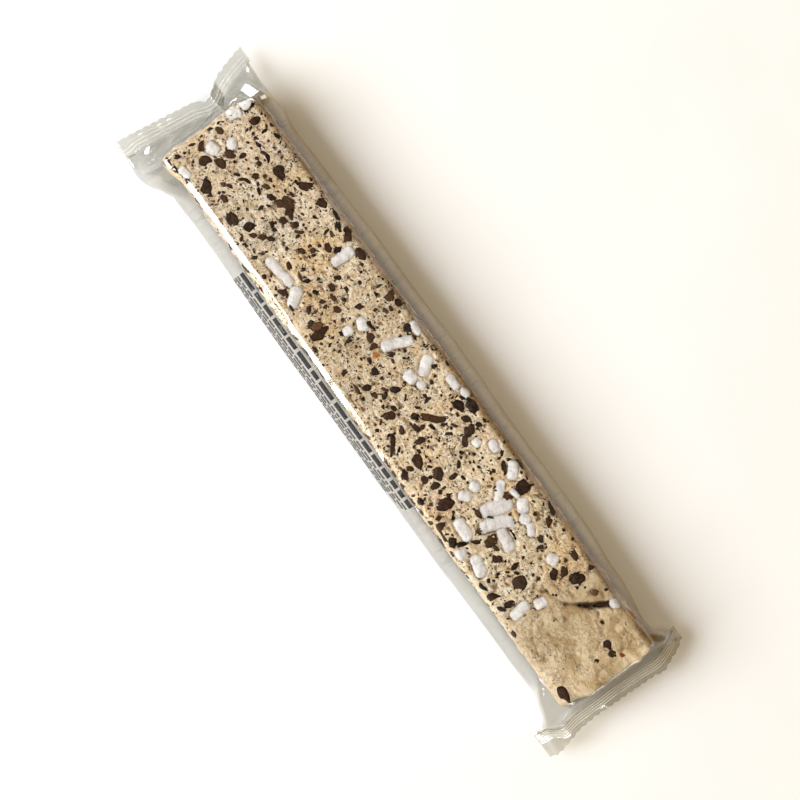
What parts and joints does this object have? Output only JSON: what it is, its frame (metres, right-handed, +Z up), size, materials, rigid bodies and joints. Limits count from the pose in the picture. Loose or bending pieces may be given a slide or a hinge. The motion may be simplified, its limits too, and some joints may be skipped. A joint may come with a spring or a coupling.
{
  "type": "nougat bar in clear wrapper",
  "caption": "Long soft nougat slab with dark chips and pale sugar rods, sealed in a loose clear film sleeve with crimped zigzag ends.",
  "frame": {"origin": "the middle of the bar's length and width, on the plane the pack rests on", "axes": "+X along the bar, +Y across it, +Z up from the face it rests on"},
  "size_m": [0.2217, 0.0517, 0.0178],
  "materials": {
    "film": "clear glossy film, lightly creased",
    "nougat": "satin, fibrous and speckled soft nougat",
    "chocolate": "satin dark chocolate chips",
    "sugar": "matt off-white sugar rods",
    "candied": "translucent amber",
    "print": "flat dark ink on the film"
  },
  "bodies": {
    "root": {"nougat_pack": "film"}
  },
  "joints": []
}
